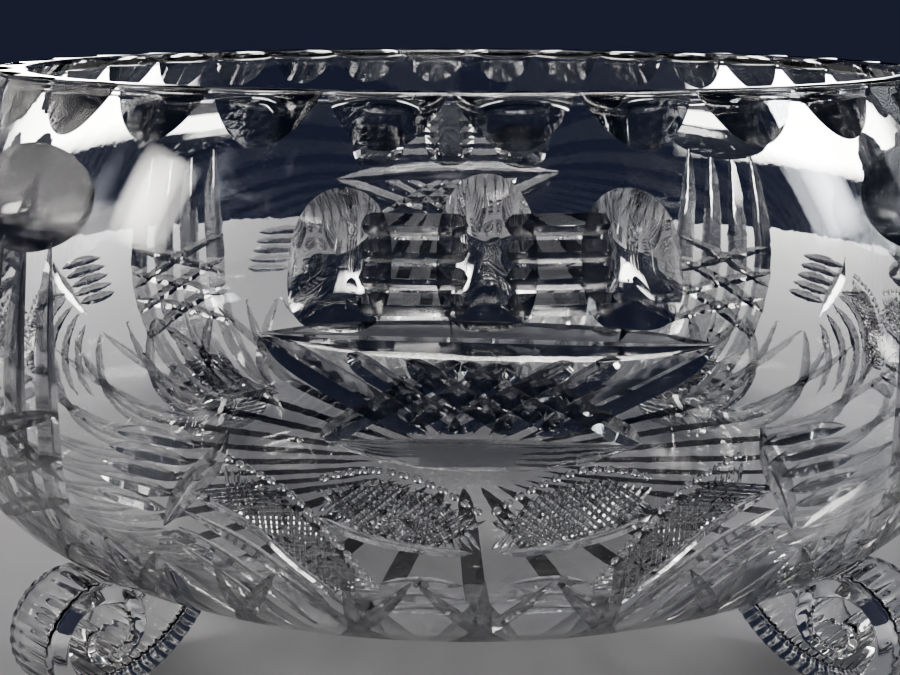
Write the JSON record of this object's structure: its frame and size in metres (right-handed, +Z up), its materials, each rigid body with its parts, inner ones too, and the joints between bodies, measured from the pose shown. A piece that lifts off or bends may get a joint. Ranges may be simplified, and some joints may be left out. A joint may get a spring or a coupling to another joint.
{
  "type": "punch bowl",
  "caption": "Footed cut-crystal punch bowl: round barrel-sided bowl with a scalloped rim, wheel-cut panels and pillars, standing on rolled scroll feet.",
  "frame": {"origin": "on the bowl's axis, in the plane the scroll feet stand on", "axes": "+Z up along the bowl's axis; -Y towards the viewer through the middle of one cut panel, +X to the viewer's right"},
  "size_m": [0.33, 0.33, 0.16],
  "materials": {
    "cut_crystal": "polished clear lead crystal with wheel-cut facets",
    "foot_crystal": "fire-polished clear lead crystal"
  },
  "bodies": {
    "root": {"bowl": "cut_crystal", "foot_1": "foot_crystal", "foot_2": "foot_crystal", "foot_3": "foot_crystal", "foot_4": "foot_crystal"}
  },
  "joints": []
}
